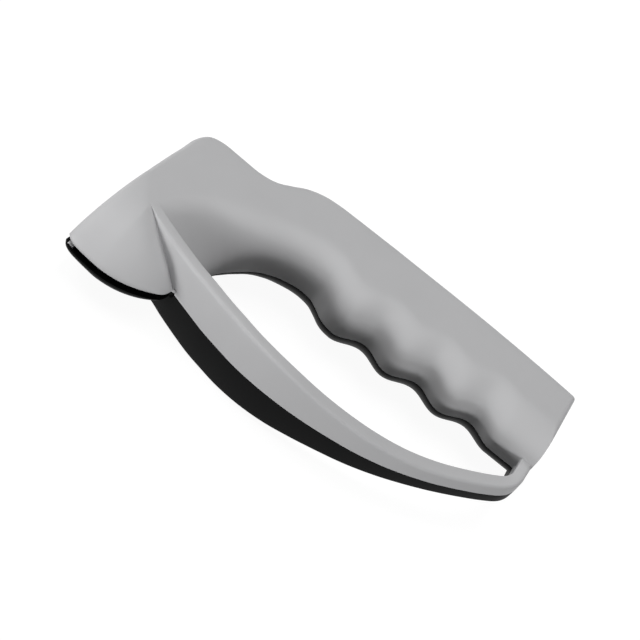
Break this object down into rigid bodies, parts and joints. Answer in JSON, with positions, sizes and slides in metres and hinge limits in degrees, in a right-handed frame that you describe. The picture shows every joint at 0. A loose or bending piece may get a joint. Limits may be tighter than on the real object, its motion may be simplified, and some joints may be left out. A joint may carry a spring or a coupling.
{
  "type": "knife sharpener",
  "caption": "Hand-held pull-through knife sharpener with crossed carbide cutters in a slotted head, a finger-grooved handle and a curved hand guard.",
  "frame": {"origin": "centre of the footprint on the lower flat side, which the sharpener lies on", "axes": "+X from the slotted nose to the tail of the handle, +Y from the slot lips to the back of the handle, +Z across the two half shells, from the black one to the gray one"},
  "size_m": [0.1366, 0.0653, 0.025],
  "materials": {
    "gray_plastic": "fine satin moulded ABS, neutral gray",
    "black_plastic": "fine satin moulded ABS, black",
    "block_plastic": "plain moulded plastic",
    "plate_steel": "stamped steel",
    "carbide": "ground tungsten carbide",
    "screw_steel": "zinc plated steel"
  },
  "bodies": {
    "root": {"upper_shell": "gray_plastic", "lower_shell": "black_plastic", "cutter_block": "block_plastic", "keeper_plate": "plate_steel", "front_cutter": "carbide", "rear_cutter": "carbide", "keeper_screw_near": "screw_steel", "keeper_screw_far": "screw_steel", "shell_screw_nose": "screw_steel", "shell_screw_head": "screw_steel", "shell_screw_grip_front": "screw_steel", "shell_screw_grip_rear": "screw_steel", "shell_screw_tail": "screw_steel"}
  },
  "joints": []
}
